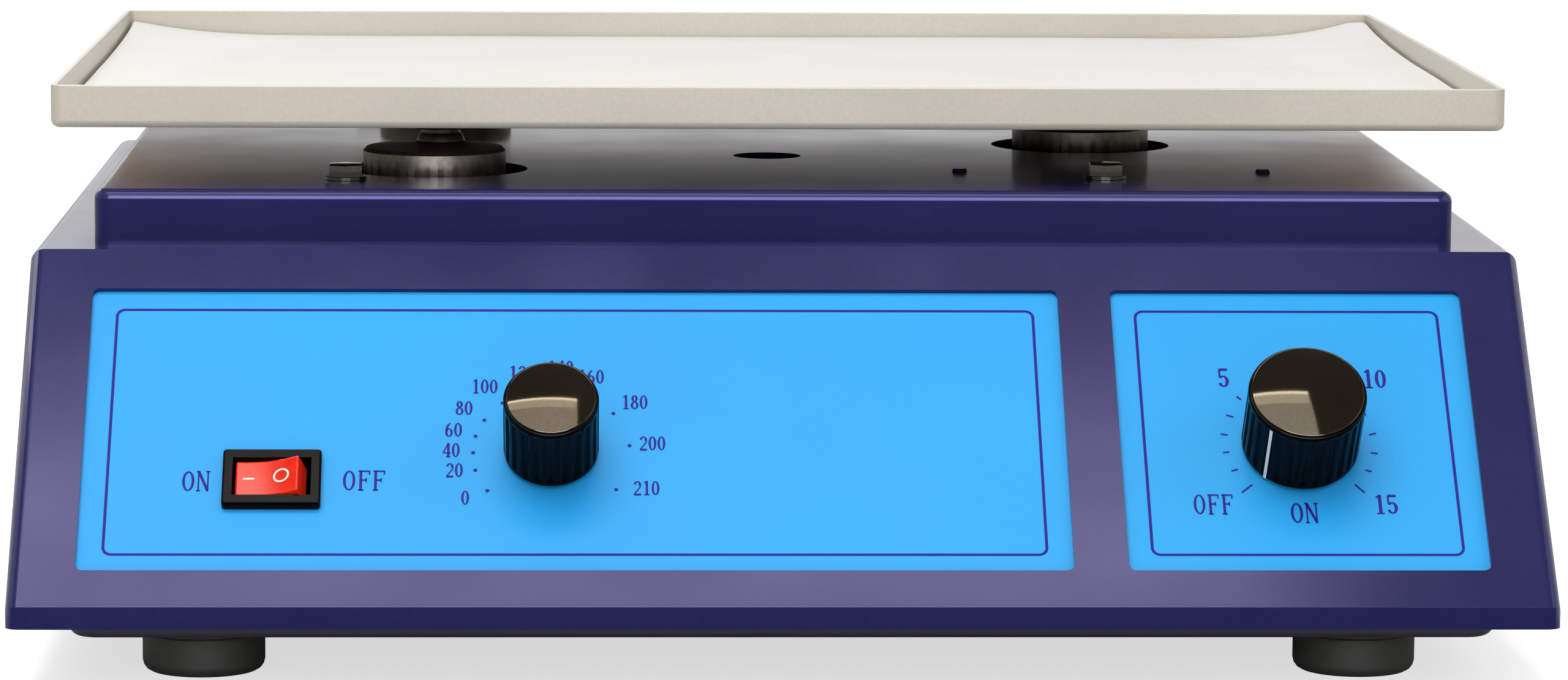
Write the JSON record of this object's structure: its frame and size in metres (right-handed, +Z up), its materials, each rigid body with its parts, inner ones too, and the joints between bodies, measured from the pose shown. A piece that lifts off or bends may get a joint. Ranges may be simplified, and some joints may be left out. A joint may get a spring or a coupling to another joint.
{
  "type": "orbital shaker",
  "caption": "Bench orbital shaker: sloping control front with rocker, speed and timer knobs, and a shallow tray carried round in a circle by cranks through the deck.",
  "frame": {"origin": "under the middle of the whole object, on the plane the feet stand on", "axes": "+X right seen from the controls, +Y back, +Z up"},
  "size_m": [0.314, 0.3152, 0.1164],
  "materials": {
    "navy_paint": "gloss powder coat",
    "pan_paint": "satin powder coat",
    "blue_panel": "satin printed sheet",
    "beige_paint": "gloss powder coat",
    "white_mat": "matt sheet",
    "foot_rubber": "matt",
    "black_plastic": "glossy",
    "red_plastic": "glossy, lit red",
    "knob_cap_metal": "dark polished",
    "zinc_steel": "bright zinc plated",
    "turned_steel": "turned and oiled",
    "bearing_steel": "ground",
    "cast_aluminium": "as machined",
    "belt_rubber": "matt",
    "motor_can": "satin",
    "plate_steel": "zinc passivated",
    "board_laminate": "solder mask",
    "dark_plastic": "moulded",
    "contact_brass": "stamped"
  },
  "bodies": {
    "base": {"housing": "navy_paint", "speed_panel": "blue_panel", "timer_panel": "blue_panel", "panel_nuts": "zinc_steel", "base_pan": "pan_paint", "pan_screws": "zinc_steel", "rubber_feet": "foot_rubber", "foot_screws": "zinc_steel", "deck_pillars": "plate_steel", "deck_washers": "zinc_steel", "deck_bolts": "zinc_steel", "plate_screws": "zinc_steel", "deck_brace": "plate_steel", "brace_rivets": "zinc_steel", "drive_plate": "plate_steel", "flange_screws": "zinc_steel", "drive_belt": "belt_rubber", "motor": "motor_can", "motor_screws": "zinc_steel", "switch_body": "black_plastic", "switch_blades": "contact_brass", "potentiometer": "dark_plastic", "timer_unit": "dark_plastic", "bush_nuts": "zinc_steel", "mains_inlet": "dark_plastic", "inlet_contacts": "contact_brass", "fuse_drawer": "dark_plastic", "inlet_screws": "zinc_steel", "control_board": "board_laminate", "board_standoffs": "contact_brass", "heatsink": "cast_aluminium", "board_components": "dark_plastic", "bearing_housing_a": "cast_aluminium", "shaft_bearings_a": "bearing_steel", "bearing_housing_b": "cast_aluminium", "shaft_bearings_b": "bearing_steel", "bearing_housing_c": "cast_aluminium", "shaft_bearings_c": "bearing_steel"},
    "crank_a": {"crank_a": "turned_steel", "crank_clips_a": "zinc_steel", "crank_pulley": "cast_aluminium"},
    "crank_b": {"crank_b": "turned_steel", "crank_clips_b": "zinc_steel"},
    "crank_c": {"crank_c": "turned_steel", "crank_clips_c": "zinc_steel"},
    "tray": {"tray": "beige_paint", "mat": "white_mat", "bearing_cups": "cast_aluminium", "pin_bearings": "bearing_steel"},
    "motor_rotor": {"motor_shaft": "turned_steel", "motor_pulley": "cast_aluminium"},
    "speed_knob": {"speed_knob": "black_plastic", "speed_knob_cap": "knob_cap_metal", "speed_spindle": "turned_steel"},
    "timer_knob": {"timer_knob": "black_plastic", "timer_knob_cap": "knob_cap_metal", "timer_spindle": "turned_steel"},
    "rocker": {"rocker": "red_plastic"}
  },
  "joints": [
    {"name": "crank_a_spin", "type": "hinge", "parent": "base", "child": "crank_a", "pos_m": [-0.0734, -0.03645, 0.0999], "axis": [0, 0, 1], "continuous": true},
    {"name": "crank_b_spin", "type": "hinge", "parent": "base", "child": "crank_b", "pos_m": [0.0734, 0.02255, 0.0999], "axis": [0, 0, 1], "continuous": true},
    {"name": "crank_c_spin", "type": "hinge", "parent": "base", "child": "crank_c", "pos_m": [-0.0734, 0.08155, 0.0999], "axis": [0, 0, 1], "continuous": true},
    {"name": "tray_pin_turn", "type": "hinge", "parent": "crank_a", "child": "tray", "pos_m": [-0.07225, -0.02652, 0.10375], "axis": [0, 0, 1], "continuous": true},
    {"name": "motor_spin", "type": "hinge", "parent": "base", "child": "motor_rotor", "pos_m": [0.0005, -0.00555, 0.0879], "axis": [0, 0, 1], "continuous": true},
    {"name": "speed_knob_turn", "type": "hinge", "parent": "base", "child": "speed_knob", "pos_m": [-0.0475, -0.1276, 0.04558], "axis": [0, -0.6925, 0.7214], "range_deg": [-127, 127]},
    {"name": "timer_knob_turn", "type": "hinge", "parent": "base", "child": "timer_knob", "pos_m": [0.1069, -0.1263, 0.04683], "axis": [0, -0.6925, 0.7214], "range_deg": [-281, 33]},
    {"name": "rocker_tilt", "type": "hinge", "parent": "base", "child": "rocker", "pos_m": [-0.10445, -0.13081, 0.03765], "axis": [0, 0.7214, 0.6925], "range_deg": [0, 20]}
  ],
  "couplings": [
    {"joint": "crank_b_spin", "follows": "crank_a_spin", "ratio": 1},
    {"joint": "crank_c_spin", "follows": "crank_a_spin", "ratio": 1},
    {"joint": "tray_pin_turn", "follows": "crank_a_spin", "ratio": -1},
    {"joint": "motor_spin", "follows": "crank_a_spin", "ratio": 2.7391}
  ]
}
